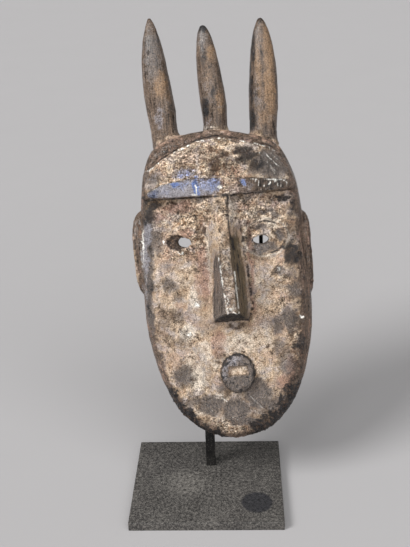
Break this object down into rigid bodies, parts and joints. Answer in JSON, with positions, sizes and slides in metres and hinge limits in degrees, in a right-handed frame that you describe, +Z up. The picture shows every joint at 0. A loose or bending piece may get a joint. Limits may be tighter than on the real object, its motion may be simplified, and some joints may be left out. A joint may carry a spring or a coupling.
{
  "type": "horned wooden mask on a display stand",
  "caption": "Carved wooden face mask with upright horns, a brow band, a long nose and an open hollow back, held on a steel plate, bar and fork.",
  "frame": {"origin": "centre of the base plate's underside", "axes": "+Z up, the mask's face towards -Y, +X to the viewer's right"},
  "size_m": [0.1953, 0.2212, 0.48],
  "materials": {
    "carved_wood": "old carved hardwood, dark and worn on edges and horns, with a tan pigment crust on the face and blue paint on the brow",
    "plate_steel": "blackened steel plate, matt and dusty, with one dark round stain",
    "blackened_steel": "blackened steel bar, satin"
  },
  "bodies": {
    "root": {"mask": "carved_wood", "base_plate": "plate_steel", "upright_bar": "blackened_steel", "fork": "blackened_steel"}
  },
  "joints": []
}
